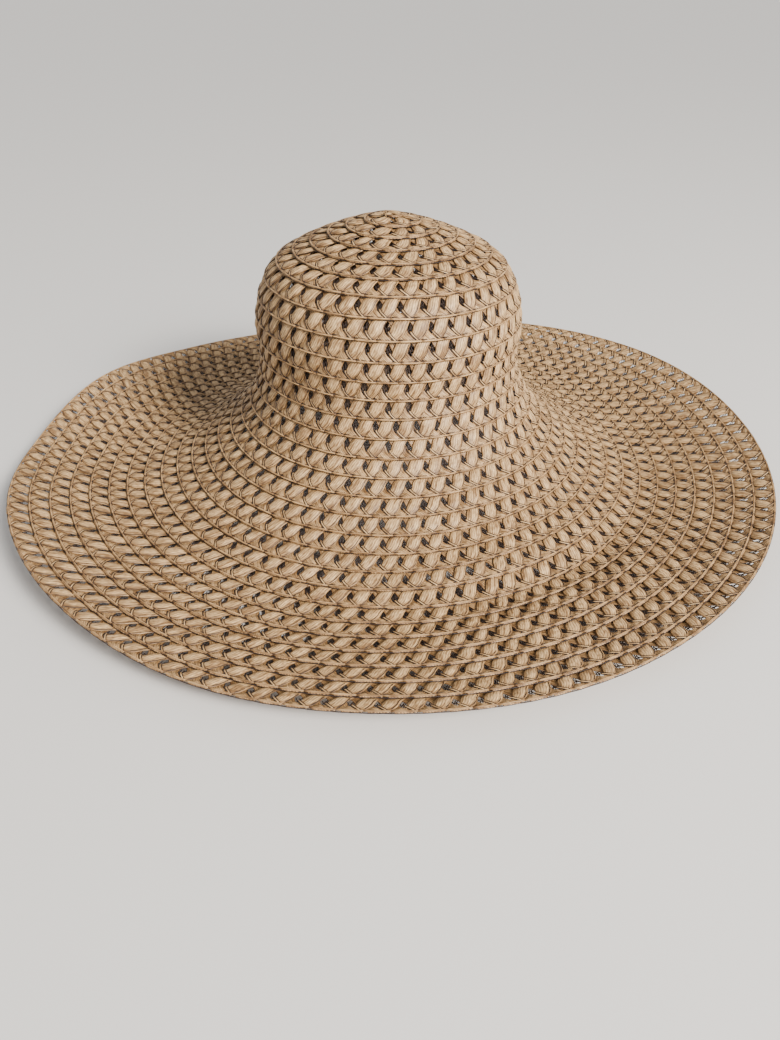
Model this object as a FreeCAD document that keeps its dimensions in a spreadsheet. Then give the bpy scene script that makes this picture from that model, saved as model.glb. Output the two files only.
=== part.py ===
import FreeCAD, Part
import Sketcher
import math
import os

# Wide-brimmed straw sun hat. One long openwork braid is sewn in a spiral: it starts at the
# middle of the crown, and each turn laps over the next one out, down to the edge of the brim.
# The hat stands on its brim. Z is the axis of the crown, Z = 0 is the surface that the brim
# rests on, and the wearer faces -Y. Millimetres.
#
# A place on the hat is given by its distance along the surface from the tip of the crown
# ("reach"), and by its turn about the axis from the back of the hat (+Y), which goes round
# by the left side (-X), the front (-Y) and the right side (+X) ("bearing", degrees).

doc = FreeCAD.newDocument("straw_sun_hat")
sheet = doc.addObject("Spreadsheet::Sheet", "dimensions")

DRIVING = (
    # the braid and the way it is sewn
    ("braid_width", 16.8, "width of the flat braid"),
    ("braid_thickness", 1.5, "thickness of one layer of braid"),
    ("row_pitch", 13.2, "step of the spiral from one turn to the next"),
    ("layer_gap", 0.25, "air between two lapped layers"),
    ("turn_count", 29, "turns of braid from the tip to the edge"),
    ("tail_bearing", 300, "bearing where the last turn starts to narrow"),
    ("tail_width", 5.0, "width of the braid where it ends"),
    # the outline: reach of each station, and the slope of the surface there, below level
    ("tip_slope", 12, "slope at the tip"),
    ("top_reach", 75, "end of the gently domed top"),
    ("top_slope", 27, "slope at the end of the top"),
    ("shoulder_reach", 95, "end of the shoulder's tightest bend"),
    ("shoulder_slope", 60, "slope there"),
    ("wall_reach", 138, "steepest place of the crown's wall"),
    ("wall_slope", 97, "slope there: past 90 the wall draws in to the head opening"),
    ("flare_reach", 216, "end of the flare"),
    ("flare_slope", 38, "slope of the flared skirt"),
    ("skirt_reach", 234, "end of the straight skirt, where the floppy brim starts"),
    ("dish_reach", 326, "end of the dished part of the brim"),
    ("dish_slope", -7, "slope there: below zero the brim rises outward"),
    ("edge_reach", 389.4, "edge of the brim at the front"),
    ("edge_slope", -14, "slope at the edge"),
    # the crease that the soft brim has taken at its right front
    ("crease_bearing", 214, "bearing of the middle of the crease"),
    ("crease_spread", 30, "how far the crease runs to each side, degrees"),
    ("crease_reach", 299, "reach of the bottom of the crease"),
    ("crease_height", 6.0, "how high the brim stands beside the crease"),
    ("crease_narrow", 15, "half width of the crease itself"),
    ("crease_wide", 48, "half width of the raised part around it"),
    # the thread that sews each lap
    ("thread_inset", 2.6, "from the outer edge of a turn to its seam"),
    ("thread_width", 0.8, "width of the seam thread"),
    ("thread_height", 0.5, "height of the seam thread"),
    ("thread_gap", 0.2, "air under the seam thread"),
    ("crown_turns", 14, "turns that belong to the crown"),
    # the sweatband, sewn inside the head opening
    ("head_radius", 89.6, "inner radius of the sweatband: a head of 56 cm"),
    ("band_thickness", 0.9, "thickness of the sweatband"),
    ("band_bottom", 94, "height of the lower end of its straight part"),
    ("band_height", 28, "height of its straight part"),
    ("hem_drop", 6, "height of the flared hem under it"),
    ("hem_flare", 0.9, "how far the hem stands out"),
    ("stitch_count", 96, "stitches round the hem"),
    ("stitch_length", 4.2, "length of one stitch"),
    ("stitch_radius", 0.22, "radius of the sewing thread"),
    ("stitch_height", 89.4, "height of the row of stitches"),
    ("stitch_gap", 0.05, "air between a stitch and the hem"),
    # the blank care label behind the sweatband
    ("label_width", 22, "width of the label"),
    ("label_height", 21, "height of the label"),
    ("label_thickness", 0.4, "thickness of the label"),
    ("label_corner", 1.5, "corner radius of the label"),
    ("label_lean", 14, "lean of the label towards the middle, degrees"),
    ("label_gap", 0.1, "air between the sweatband's top and the label"),
)

# Height of the brim's edge above or below the level of an even brim, by bearing. The brim is
# soft, so its edge rises and falls as it lies.
EDGE_LIFT = (
    ("edge_lift_back", 0, 1.0),
    ("edge_lift_back_left", 22.5, -10.0),
    ("edge_lift_left_back", 45, -5.5),
    ("edge_lift_left_rear", 67.5, 5.0),
    ("edge_lift_left", 90, -2.0),
    ("edge_lift_left_fore", 112.5, 6.5),
    ("edge_lift_left_front", 135, 4.0),
    ("edge_lift_front_left", 157.5, -3.0),
    ("edge_lift_front", 180, -2.5),
    ("edge_lift_front_right", 202.5, -4.0),
    ("edge_lift_right_front", 225, -2.0),
    ("edge_lift_right_fore", 247.5, 0.0),
    ("edge_lift_right", 270, 3.0),
    ("edge_lift_right_rear", 292.5, 5.5),
    ("edge_lift_right_back", 315, 3.0),
    ("edge_lift_back_right", 337.5, 0.0),
)


def fill_sheet():
    """Write every driving dimension in the sheet, with its name as the alias of its cell."""
    rows = list(DRIVING)
    for alias, bearing, value in EDGE_LIFT:
        rows.append((alias, value, "lift of the brim's edge at bearing %g" % bearing))
    for row, (alias, value, note) in enumerate(rows, start=1):
        sheet.set("A%d" % row, alias)
        sheet.set("B%d" % row, str(value))
        sheet.set("C%d" % row, note)
        sheet.setAlias("B%d" % row, alias)
    doc.recompute()


def dim(alias):
    """A driving dimension, as the sheet holds it."""
    return float(sheet.get(alias))


fill_sheet()

BRAID_WIDTH = dim("braid_width")
BRAID_THICKNESS = dim("braid_thickness")
ROW_PITCH = dim("row_pitch")
TURNS = int(dim("turn_count"))
LAP = BRAID_WIDTH - ROW_PITCH
# each turn leans like a roof shingle, just enough to clear the next one under it
LEAN = (BRAID_THICKNESS + dim("layer_gap")) * BRAID_WIDTH / (2 * ROW_PITCH)
STATIONS = (
    (0.0, dim("tip_slope")),
    (dim("top_reach"), dim("top_slope")),
    (dim("shoulder_reach"), dim("shoulder_slope")),
    (dim("wall_reach"), dim("wall_slope")),
    (dim("flare_reach"), dim("flare_slope")),
    (dim("skirt_reach"), dim("flare_slope")),
    (dim("dish_reach"), dim("dish_slope")),
    (dim("edge_reach"), dim("edge_slope")),
)


# ---- the surface that the braid follows -------------------------------------------------


def slope_at(reach):
    """Slope of the surface below level, in radians: it changes evenly between stations."""
    for (start, slope), (end, next_slope) in zip(STATIONS, STATIONS[1:]):
        if reach <= end:
            break
    share = (reach - start) / (end - start)
    return math.radians(slope + (next_slope - slope) * share)


OUTLINE_STEP = 0.6


def trace_outline():
    """(radius, height) every OUTLINE_STEP of reach, from the tip at height 0 to past the edge."""
    points = [(0.0, 0.0)]
    for i in range(int((dim("edge_reach") + ROW_PITCH) / OUTLINE_STEP) + 1):
        slope = slope_at((i + 0.5) * OUTLINE_STEP)
        radius, height = points[-1]
        points.append((radius + OUTLINE_STEP * math.cos(slope), height - OUTLINE_STEP * math.sin(slope)))
    return points


OUTLINE = trace_outline()


def outline_at(reach):
    """Radius and height of the even surface at a reach. Past the tip it carries on level."""
    if reach < 0:
        return reach, 0.0
    place = reach / OUTLINE_STEP
    i = min(int(place), len(OUTLINE) - 2)
    share = place - i
    (radius, height), (next_radius, next_height) = OUTLINE[i], OUTLINE[i + 1]
    return radius + (next_radius - radius) * share, height + (next_height - height) * share


def edge_lift(bearing):
    """Lift of the brim's edge at a bearing: a smooth closed curve through the stations."""
    count = len(EDGE_LIFT)
    place = (bearing % 360) / 360 * count
    i = int(place)
    t = place - i
    before, here, after, beyond = [dim(EDGE_LIFT[(i + k) % count][0]) for k in (-1, 0, 1, 2)]
    return 0.5 * (
        2 * here
        + (after - before) * t
        + (2 * before - 5 * here + 4 * after - beyond) * t**2
        + (3 * here - before - 3 * after + beyond) * t**3
    )


def wave(reach, bearing):
    """How far the soft brim stands above or below the even surface."""
    brim = (reach - dim("skirt_reach")) / (dim("edge_reach") - dim("skirt_reach"))
    lift = edge_lift(bearing) * max(brim, 0.0) ** 2
    aside = (bearing - dim("crease_bearing")) / dim("crease_spread")
    across = reach - dim("crease_reach")
    raised = math.exp(-((across / dim("crease_wide")) ** 2)) - math.exp(-((across / dim("crease_narrow")) ** 2))
    return lift + dim("crease_height") * raised * math.exp(-(aside**2))


def surface_point(reach, bearing, off=0.0, ground=0.0):
    """The point on the hat at a reach and bearing, off the surface along its normal."""
    radius, height = outline_at(reach)
    slope = slope_at(max(reach, 0.0))
    radius += off * math.sin(slope)
    height += off * math.cos(slope) + wave(reach, bearing) + ground
    turn = math.radians(bearing)
    return FreeCAD.Vector(-radius * math.sin(turn), radius * math.cos(turn), height)


# ---- the spiral of braid ----------------------------------------------------------------

SECTIONS_PER_TURN = 36
POINTS_ACROSS = 5


def outer_reach(turn, bearing):
    """Reach of the outer edge of a turn, before the tail of the last one narrows."""
    return ROW_PITCH * (turn + bearing / 360)


def braid_width_at(turn, bearing):
    """Width of the braid: even, but for the tail, which narrows to its end under the lap."""
    start = dim("tail_bearing")
    if turn < TURNS or bearing <= start:
        return BRAID_WIDTH
    share = (bearing - start) / (360 - start)
    ease = share * share * (3 - 2 * share)
    return BRAID_WIDTH + (dim("tail_width") - BRAID_WIDTH) * ease


def lean_at(across):
    """Offset of the middle of the braid from the surface, by distance from its inner edge."""
    return LEAN * (2 * across / BRAID_WIDTH - 1)


def smooth_line(points):
    """A smooth edge through points, with even parameters so that sections loft without extra knots."""
    curve = Part.BSplineCurve()
    curve.interpolate(Points=points, Parameters=[i / (len(points) - 1) for i in range(len(points))])
    return curve.toShape()


def section_wire(under, over):
    """Closed wire between a lower and an upper line of points."""
    return Part.Wire(
        (
            smooth_line(under),
            Part.makeLine(under[-1], over[-1]),
            smooth_line(over[::-1]),
            Part.makeLine(over[0], under[0]),
        )
    )


def strip_section(turn, bearing, across_from, across_to, low, high, ground):
    """Closed wire of a strip that lies along the braid, in the plane of one bearing."""
    inner_edge = outer_reach(turn, bearing) - BRAID_WIDTH
    under, over = [], []
    for i in range(POINTS_ACROSS):
        across = across_from + (across_to - across_from) * i / (POINTS_ACROSS - 1)
        middle = lean_at(across)
        under.append(surface_point(inner_edge + across, bearing, middle + low, ground))
        over.append(surface_point(inner_edge + across, bearing, middle + high, ground))
    return section_wire(under, over)


def strip_solid(turn, across_from, across_to, low, high, ground):
    """One turn of a strip, lofted through its sections from the back round to the back.

    across_to None means the outer edge of the braid, wherever that is.
    """
    sections = []
    for i in range(SECTIONS_PER_TURN + 1):
        bearing = 360 * i / SECTIONS_PER_TURN
        end = braid_width_at(turn, bearing) if across_to is None else across_to
        sections.append(strip_section(turn, bearing, across_from, end, low, high, ground))
    return Part.makeLoft(sections, True)


def tip_coil(ground):
    """The start of the braid, coiled flat to a domed disc whose rim is the first spiral turn."""
    half = BRAID_THICKNESS / 2
    rim = outer_reach(1, 360)
    steps = 8
    under = [surface_point(rim * i / steps, 0, LEAN - half, ground) for i in range(steps + 1)]
    over = [surface_point(rim * i / steps, 0, LEAN + half, ground) for i in range(steps + 1)]
    for line in (under, over):
        line[0] = FreeCAD.Vector(0, 0, line[0].z)
    axis = FreeCAD.Vector(0, 0, 1)
    disc = Part.Face(section_wire(under, over)).revolve(FreeCAD.Vector(0, 0, 0), axis, 360)
    spiral_points = []
    for i in range(SECTIONS_PER_TURN + 1):
        bearing = 360 * i / SECTIONS_PER_TURN
        point = surface_point(outer_reach(1, bearing), bearing)
        spiral_points.append(FreeCAD.Vector(point.x, point.y, 0))
    closing = Part.makeLine(spiral_points[-1], spiral_points[0])
    snail = Part.Face(Part.Wire((smooth_line(spiral_points), closing)))
    tall = 2 * (over[0].z + half)
    return Part.Solid(disc.common(snail.extrude(axis * tall)).Solids[0])


def ground_height():
    """How far the hat is raised so that the lowest place of its brim touches Z = 0."""
    half = BRAID_THICKNESS / 2
    around = 4 * SECTIONS_PER_TURN
    over = 2 * POINTS_ACROSS
    lowest = 0.0
    for turn in range(int(dim("crown_turns")), TURNS + 1):
        for i in range(around):
            bearing = 360 * i / around
            inner_edge = outer_reach(turn, bearing) - BRAID_WIDTH
            for j in range(over):
                across = BRAID_WIDTH * j / over
                point = surface_point(inner_edge + across, bearing, lean_at(across) - half)
                lowest = min(lowest, point.z)
    return -lowest


def add_shape(label, shape):
    """A sub-part whose shape is a free surface, worked out from the sheet."""
    feature = doc.addObject("Part::Feature", label)
    feature.Label = label
    feature.Shape = shape
    feature.Placement = FreeCAD.Placement()
    return feature


def make_braid(ground):
    """Every turn of the braid, each in its own sub-part."""
    half = BRAID_THICKNESS / 2
    turns = [add_shape("braid_turn_01_tip", tip_coil(ground))]
    for turn in range(2, TURNS + 1):
        solid = strip_solid(turn, 0.0, None, -half, half, ground)
        turns.append(add_shape("braid_turn_%02d" % turn, solid))
    return turns


def make_seam_thread(label, first, last, ground):
    """The thread that sews each turn to the next one, along its outer edge."""
    outer = BRAID_WIDTH - dim("thread_inset")
    low = BRAID_THICKNESS / 2 + dim("thread_gap")
    high = low + dim("thread_height")
    solids = []
    for turn in range(first, last + 1):
        solids.append(strip_solid(turn, outer - dim("thread_width"), outer, low, high, ground))
    return add_shape(label, Part.Compound(solids))


# ---- the sweatband and its label --------------------------------------------------------


def origin_plane(body, role):
    """One of a body's own origin planes."""
    for feature in body.Origin.OriginFeatures:
        if feature.Role == role:
            return feature
    raise ValueError("no origin plane " + role)


def fixed(sketch, name, index, expression):
    """Name a driving constraint and bind it to the sheet."""
    sketch.renameConstraint(index, name)
    sketch.setExpression("Constraints." + name, expression)


def add_polygon(sketch, points):
    """Closed chain of lines. Returns the number of its first line."""
    first = sketch.GeometryCount
    count = len(points)
    for i in range(count):
        start = FreeCAD.Vector(points[i][0], points[i][1], 0)
        end = FreeCAD.Vector(points[(i + 1) % count][0], points[(i + 1) % count][1], 0)
        sketch.addGeometry(Part.LineSegment(start, end), False)
    for i in range(count):
        sketch.addConstraint(Sketcher.Constraint("Coincident", first + i, 2, first + (i + 1) % count, 1))
    return first


def place_corner(sketch, line, name, across, up):
    """Hold the start of a line at a distance from each axis of the sketch."""
    for axis, direction, expression in (("x", "DistanceX", across), ("y", "DistanceY", up)):
        index = sketch.addConstraint(Sketcher.Constraint(direction, -1, 1, line, 1, 1.0))
        fixed(sketch, name + "_" + axis, index, expression)


def make_sweatband():
    """Grosgrain band round the head opening: a straight wall with a hem that flares under it."""
    body = doc.addObject("PartDesign::Body", "sweatband")
    body.Label = "sweatband"
    sketch = body.newObject("Sketcher::SketchObject", "band_section")
    sketch.AttachmentSupport = [(origin_plane(body, "XZ_Plane"), "")]
    sketch.MapMode = "FlatFace"
    inner = "dimensions.head_radius"
    outer = "dimensions.head_radius + dimensions.band_thickness"
    bottom = "dimensions.band_bottom"
    top = "dimensions.band_bottom + dimensions.band_height"
    hem = "dimensions.band_bottom - dimensions.hem_drop"
    flare = " + dimensions.hem_flare"
    corners = (
        ("wall_bottom", inner, bottom),
        ("wall_top", inner, top),
        ("back_top", outer, top),
        ("back_bottom", outer, bottom),
        ("hem_back", outer + flare, hem),
        ("hem_front", inner + flare, hem),
    )
    radius = dim("head_radius")
    thick = dim("band_thickness")
    low = dim("band_bottom")
    high = low + dim("band_height")
    under = low - dim("hem_drop")
    out = dim("hem_flare")
    rough = (
        (radius, low),
        (radius, high),
        (radius + thick, high),
        (radius + thick, low),
        (radius + thick + out, under),
        (radius + out, under),
    )
    first = add_polygon(sketch, rough)
    for i, (name, across, up) in enumerate(corners):
        place_corner(sketch, first + i, name, across, up)
    ring = body.newObject("PartDesign::Revolution", "band_ring")
    ring.Profile = sketch
    ring.ReferenceAxis = (sketch, ["V_Axis"])
    ring.Angle = 360
    return body


def make_care_label():
    """Blank woven label, sewn behind the top of the sweatband and leaning into the crown."""
    body = doc.addObject("PartDesign::Body", "care_label")
    body.Label = "care_label"
    sketch = body.newObject("Sketcher::SketchObject", "label_outline")
    sketch.AttachmentSupport = [(origin_plane(body, "XZ_Plane"), "")]
    sketch.MapMode = "FlatFace"
    wide = dim("label_width") / 2
    tall = dim("label_height")
    first = add_polygon(sketch, ((-wide, 0), (wide, 0), (wide, tall), (-wide, tall)))
    half = "dimensions.label_width / 2"
    corners = (
        ("left_bottom", "-" + half, "0"),
        ("right_bottom", half, "0"),
        ("right_top", half, "dimensions.label_height"),
        ("left_top", "-" + half, "dimensions.label_height"),
    )
    for i, (name, across, up) in enumerate(corners):
        place_corner(sketch, first + i, name, across, up)
    pad = body.newObject("PartDesign::Pad", "label_cloth")
    pad.Profile = sketch
    pad.setExpression("Length", "dimensions.label_thickness")
    doc.recompute()
    upright = []
    for i, edge in enumerate(pad.Shape.Edges):
        along = edge.tangentAt(edge.FirstParameter)
        if abs(along.y) > 0.9 and edge.CenterOfMass.z > tall / 2:
            upright.append("Edge%d" % (i + 1))
    corner = body.newObject("PartDesign::Fillet", "label_corners")
    corner.Base = (pad, upright)
    corner.setExpression("Radius", "dimensions.label_corner")
    foot = FreeCAD.Vector(0, dim("head_radius") + dim("band_thickness") / 2, 0)
    foot.z = dim("band_bottom") + dim("band_height") + dim("label_gap")
    lean = FreeCAD.Rotation(FreeCAD.Vector(1, 0, 0), dim("label_lean"))
    body.Placement = FreeCAD.Placement(foot, lean)
    return body


def make_sweatband_stitching():
    """A ring of short straight stitches along the inner face of the sweatband's hem."""
    drop = dim("band_bottom") - dim("stitch_height")
    wall = dim("head_radius") + dim("hem_flare") * drop / dim("hem_drop")
    radius = wall - dim("stitch_gap") - dim("stitch_radius")
    count = int(dim("stitch_count"))
    length = dim("stitch_length")
    solids = []
    for i in range(count):
        turn = 2 * math.pi * i / count
        along = FreeCAD.Vector(-math.sin(turn), math.cos(turn), 0)
        middle = FreeCAD.Vector(radius * math.cos(turn), radius * math.sin(turn), dim("stitch_height"))
        solids.append(Part.makeCylinder(dim("stitch_radius"), length, middle - along * (length / 2), along))
    return add_shape("sweatband_stitching", Part.Compound(solids))


# ---- assembly ---------------------------------------------------------------------------


def check(parts):
    """Stop if an object failed to build, or a sub-part has no sound shape."""
    for item in doc.Objects:
        if "Invalid" in item.State or "Error" in item.State:
            raise ValueError("failed object: " + item.Name)
    for part in parts:
        if part.Shape.isNull() or not part.Shape.isValid():
            raise ValueError("no sound shape: " + part.Label)


def main():
    ground = ground_height()
    crown_turns = int(dim("crown_turns"))
    parts = make_braid(ground)
    parts.append(make_seam_thread("crown_seam_thread", 2, crown_turns, ground))
    parts.append(make_seam_thread("brim_seam_thread", crown_turns + 1, TURNS - 1, ground))
    parts.append(make_sweatband())
    parts.append(make_sweatband_stitching())
    parts.append(make_care_label())
    doc.recompute()
    check(parts)
    os.makedirs("parts", exist_ok=True)
    for part in parts:
        part.Shape.exportStep(os.path.join("parts", part.Label + ".step"))
        box = part.Shape.BoundBox
        volume = sum(solid.Volume for solid in part.Shape.Solids)
        print(part.Label, len(part.Shape.Solids), "solids %.0f mm3" % volume, "z %.2f to %.2f" % (box.ZMin, box.ZMax))
    print("tip of the crown stands at %.1f mm" % ground)


main()
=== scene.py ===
import bpy
import math
import numpy as np
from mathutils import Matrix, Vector


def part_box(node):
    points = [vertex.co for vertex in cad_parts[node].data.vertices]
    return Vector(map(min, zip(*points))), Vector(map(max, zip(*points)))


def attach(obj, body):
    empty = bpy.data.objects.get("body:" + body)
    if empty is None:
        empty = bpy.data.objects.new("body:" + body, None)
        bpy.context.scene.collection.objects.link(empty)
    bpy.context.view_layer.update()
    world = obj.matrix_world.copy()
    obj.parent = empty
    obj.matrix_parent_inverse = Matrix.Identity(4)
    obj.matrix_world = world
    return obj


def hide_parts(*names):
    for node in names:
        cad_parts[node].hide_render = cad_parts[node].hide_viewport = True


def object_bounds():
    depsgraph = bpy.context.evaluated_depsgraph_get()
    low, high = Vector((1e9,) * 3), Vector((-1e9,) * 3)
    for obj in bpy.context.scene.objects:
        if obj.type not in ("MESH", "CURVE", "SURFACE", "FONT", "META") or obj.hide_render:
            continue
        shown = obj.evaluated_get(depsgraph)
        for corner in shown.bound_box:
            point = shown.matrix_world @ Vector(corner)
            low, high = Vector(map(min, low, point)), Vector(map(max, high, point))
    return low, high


# A wide-brimmed straw sun hat. One openwork braid is sewn in a spiral from the tip of the crown
# to the edge of the brim. Each turn of the braid is woven here from its own straw ribbons.
# Sizes are in millimetres, but for the floor, lights and camera, and every mesh of the hat is
# scaled to metres as it is made. The frame is the CAD model's: Z is the axis of the crown,
# Z = 0 is the floor, and the wearer faces -Y.
#
# "reach" is the distance along the hat's surface from the tip of the crown. "turn" counts the
# turns of the spiral, and grows by one each time round from the back (+Y) by -X, the front (-Y)
# and +X. "across" is the distance over the braid from its inner edge. A "cell" is one repeat of
# the weave, and places along the braid are counted in cells.

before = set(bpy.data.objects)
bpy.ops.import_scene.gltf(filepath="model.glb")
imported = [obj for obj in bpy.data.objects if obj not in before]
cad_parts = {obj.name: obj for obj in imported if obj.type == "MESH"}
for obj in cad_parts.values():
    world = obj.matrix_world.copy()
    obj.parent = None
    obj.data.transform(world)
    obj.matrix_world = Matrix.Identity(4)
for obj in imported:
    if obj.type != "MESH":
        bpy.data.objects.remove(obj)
cad_low, cad_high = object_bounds()

MM = 0.001
rng = np.random.default_rng(7)

# ---- driving dimensions: the same values as the CAD model's -----------------------------

BRAID_WIDTH = 16.8
BRAID_THICKNESS = 1.5
ROW_PITCH = 13.2          # from turn to turn: each laps the next by the rest of its width
LAYER_GAP = 0.25          # between two turns where they lap
LAST_TURN = 29
CROWN_TURNS = 14
TAIL_BEARING = 300.0      # degrees round the last turn, where the braid begins to narrow
TAIL_WIDTH = 5.0

# a turn's outer edge stands this far above the surface, and its inner edge as far below
LEAN = (BRAID_THICKNESS + LAYER_GAP) * BRAID_WIDTH / (2 * ROW_PITCH)

# at these reaches the surface slopes down by these degrees
STATION_REACH = (0, 75, 95, 138, 216, 234, 326, 389.4)
STATION_SLOPE = (12, 27, 60, 97, 38, 38, -7, -14)

# the brim's waves grow from the skirt to the edge, which has these lifts at even bearings
SKIRT_REACH, EDGE_REACH = 234.0, 389.4
EDGE_LIFT = (1, -10, -5.5, 5, -2, 6.5, 4, -3, -2.5, -4, -2, 0, 3, 5.5, 3, 0)

# a shallow crease in the brim, between two strips that it raises
CREASE_BEARING, CREASE_SPREAD, CREASE_REACH = 214.0, 30.0, 299.0
CREASE_HEIGHT, CREASE_NARROW, CREASE_WIDE = 6.0, 15.0, 48.0

# the tip stands as high as the CAD model's, which has half a layer and its lean above it
TIP_HEIGHT = cad_high.z / MM - LEAN - BRAID_THICKNESS / 2

# ---- the surface that the braid follows -------------------------------------------------

OUTLINE_STEP = 0.3
outline_reach = np.arange(0.0, EDGE_REACH + 2 * ROW_PITCH, OUTLINE_STEP)
step_middle = outline_reach[:-1] + OUTLINE_STEP / 2
middle_slope = np.radians(np.interp(step_middle, STATION_REACH, STATION_SLOPE))
outline_radius = np.concatenate(([0.0], np.cumsum(OUTLINE_STEP * np.cos(middle_slope))))
outline_height = np.concatenate(([0.0], -np.cumsum(OUTLINE_STEP * np.sin(middle_slope))))


def edge_lift(bearing):
    """Lift of the brim's edge: a smooth closed curve through the sixteen lifts."""
    lifts = np.array(EDGE_LIFT, float)
    spot = (bearing % 360) / 360 * len(lifts)
    i = spot.astype(int)
    t = spot - i
    before, here, after, beyond = [lifts[(i + k) % len(lifts)] for k in (-1, 0, 1, 2)]
    return 0.5 * (
        2 * here
        + (after - before) * t
        + (2 * before - 5 * here + 4 * after - beyond) * t**2
        + (3 * here - before - 3 * after + beyond) * t**3
    )


def wave(reach, bearing):
    """How far the soft brim stands above or below the even surface."""
    brim = np.maximum((reach - SKIRT_REACH) / (EDGE_REACH - SKIRT_REACH), 0.0)
    aside = (bearing % 360 - CREASE_BEARING) / CREASE_SPREAD
    across = reach - CREASE_REACH
    raised = np.exp(-((across / CREASE_WIDE) ** 2)) - np.exp(-((across / CREASE_NARROW) ** 2))
    return edge_lift(bearing) * brim**2 + CREASE_HEIGHT * raised * np.exp(-(aside**2))


def surface(reach, turn, off):
    """Points on the hat, off the surface along its normal. Arrays of one shape in, (..., 3) out."""
    bearing = turn * 360.0
    slope = np.radians(np.interp(reach, STATION_REACH, STATION_SLOPE))
    radius = np.interp(reach, outline_reach, outline_radius) + off * np.sin(slope)
    height = np.interp(reach, outline_reach, outline_height) + off * np.cos(slope)
    height = height + wave(reach, bearing) + TIP_HEIGHT
    angle = np.radians(bearing)
    return np.stack([-radius * np.sin(angle), radius * np.cos(angle), height], -1)


# ---- the braid's own coordinates --------------------------------------------------------

CELL = 13.6          # one repeat of the weave along the braid
FIRST_TURN = 0.3     # where the braid starts, coiled tightly at the tip
TIP_HOLE = 0.9       # radius left free at the very tip
TIGHTEST = 6.0       # the weave bunches no tighter than at this radius
TABLE_POINTS = 12000

# tables from turns of the spiral to cells of the weave
turn_table = np.linspace(FIRST_TURN, LAST_TURN + 1, TABLE_POINTS)
mid_radius = np.interp(turn_table * ROW_PITCH - BRAID_WIDTH / 2, outline_reach, outline_radius)
mid_radius = np.maximum(mid_radius, TIGHTEST)
steps = 2 * math.pi * (mid_radius[1:] + mid_radius[:-1]) / 2 * np.diff(turn_table)
cell_table = np.concatenate(([0.0], np.cumsum(steps))) / CELL
CELLS = int(cell_table[-1])
cell_table *= CELLS / cell_table[-1]


def turn_of(cell):
    """The turn of the spiral at a place along the braid, counted in cells of the weave."""
    return np.interp(cell, cell_table, turn_table)


def tail_share(turn):
    """Width of the braid as a share of its full width: 1 but for the tail."""
    start = LAST_TURN + TAIL_BEARING / 360
    share = np.clip((turn - start) / (LAST_TURN + 1 - start), 0, 1)
    ease = share * share * (3 - 2 * share)
    return 1 + (TAIL_WIDTH / BRAID_WIDTH - 1) * ease


def place(cell, across, height):
    """From the braid's own coordinates to the hat's: cells along, millimetres across and up."""
    turn = turn_of(cell)
    outer = turn * ROW_PITCH
    inner = np.maximum(outer - BRAID_WIDTH, TIP_HOLE)
    over = across * tail_share(turn)
    squeezed = over * (outer - inner) / BRAID_WIDTH
    reach = inner + np.where(outer - BRAID_WIDTH < TIP_HOLE, squeezed, over)
    lean = LEAN * (2 * (reach - outer + BRAID_WIDTH) / BRAID_WIDTH - 1)
    return surface(reach, turn, lean + height)


def on_braid(flat):
    """Points of the hat for points in the braid's own coordinates, in millimetres."""
    return place(flat[..., 0] / CELL, flat[..., 1], flat[..., 2])


# ---- meshes -----------------------------------------------------------------------------


class Pile:
    """Collects grids of quads into one mesh, with point attributes for the materials."""

    def __init__(self):
        self.points, self.quads, self.fibre, self.pale, self.count = [], [], [], [], 0

    def add(self, points, quads, fibre, pale=1.0):
        points = points.reshape(-1, 3)
        self.points.append(points)
        self.quads.append(quads + self.count)
        self.fibre.append(fibre.reshape(-1, 3))
        self.pale.append(np.broadcast_to(np.ravel(pale), len(points)))
        self.count += len(points)

    def mesh(self, name):
        points = np.concatenate(self.points) * MM
        quads = np.concatenate(self.quads)
        mesh = bpy.data.meshes.new(name)
        mesh.vertices.add(len(points))
        mesh.vertices.foreach_set("co", points.astype(np.float32).ravel())
        mesh.loops.add(quads.size)
        mesh.loops.foreach_set("vertex_index", quads.astype(np.int32).ravel())
        mesh.polygons.add(len(quads))
        mesh.polygons.foreach_set("loop_start", np.arange(0, quads.size, 4, dtype=np.int32))
        mesh.polygons.foreach_set("use_smooth", np.full(len(quads), True))
        fibre = mesh.attributes.new("fibre", "FLOAT_VECTOR", "POINT")
        fibre.data.foreach_set("vector", np.concatenate(self.fibre).astype(np.float32).ravel())
        pale = mesh.attributes.new("pale", "FLOAT", "POINT")
        pale.data.foreach_set("value", np.concatenate(self.pale).astype(np.float32))
        mesh.update(calc_edges=True)
        mesh.validate()
        return mesh


def together(*parts):
    """Arrays or numbers of different shapes, spread to one shape and stacked on a last axis."""
    return np.stack(np.broadcast_arrays(*parts), -1)


def grid_quads(rows, columns, closed=False):
    """Quads of a grid of points, rows by columns. closed joins the last column to the first."""
    start = np.arange(rows - 1)[:, None] * columns
    here = np.arange(columns if closed else columns - 1)[None, :]
    after = (here + 1) % columns
    corners = together(start + here, start + after, start + columns + after, start + columns + here)
    return corners.reshape(-1, 4)


def tube_quads(rings, sides):
    """Quads of a closed tube with flat ends made of quads, for an even number of sides."""
    quads = [grid_quads(rings, sides, closed=True)]
    last = (rings - 1) * sides
    for i in range(sides // 2 - 1):
        a, b, c, d = i, i + 1, sides - 2 - i, sides - 1 - i
        quads.append(np.array([[d, c, b, a], [last + a, last + b, last + c, last + d]]))
    return np.concatenate(quads)


def many(quads, copies, points_each):
    """The same quads for many copies of one grid that follow each other."""
    return (quads[None] + (np.arange(copies) * points_each)[:, None, None]).reshape(-1, 4)


# ---- straw ribbons ----------------------------------------------------------------------

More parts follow.
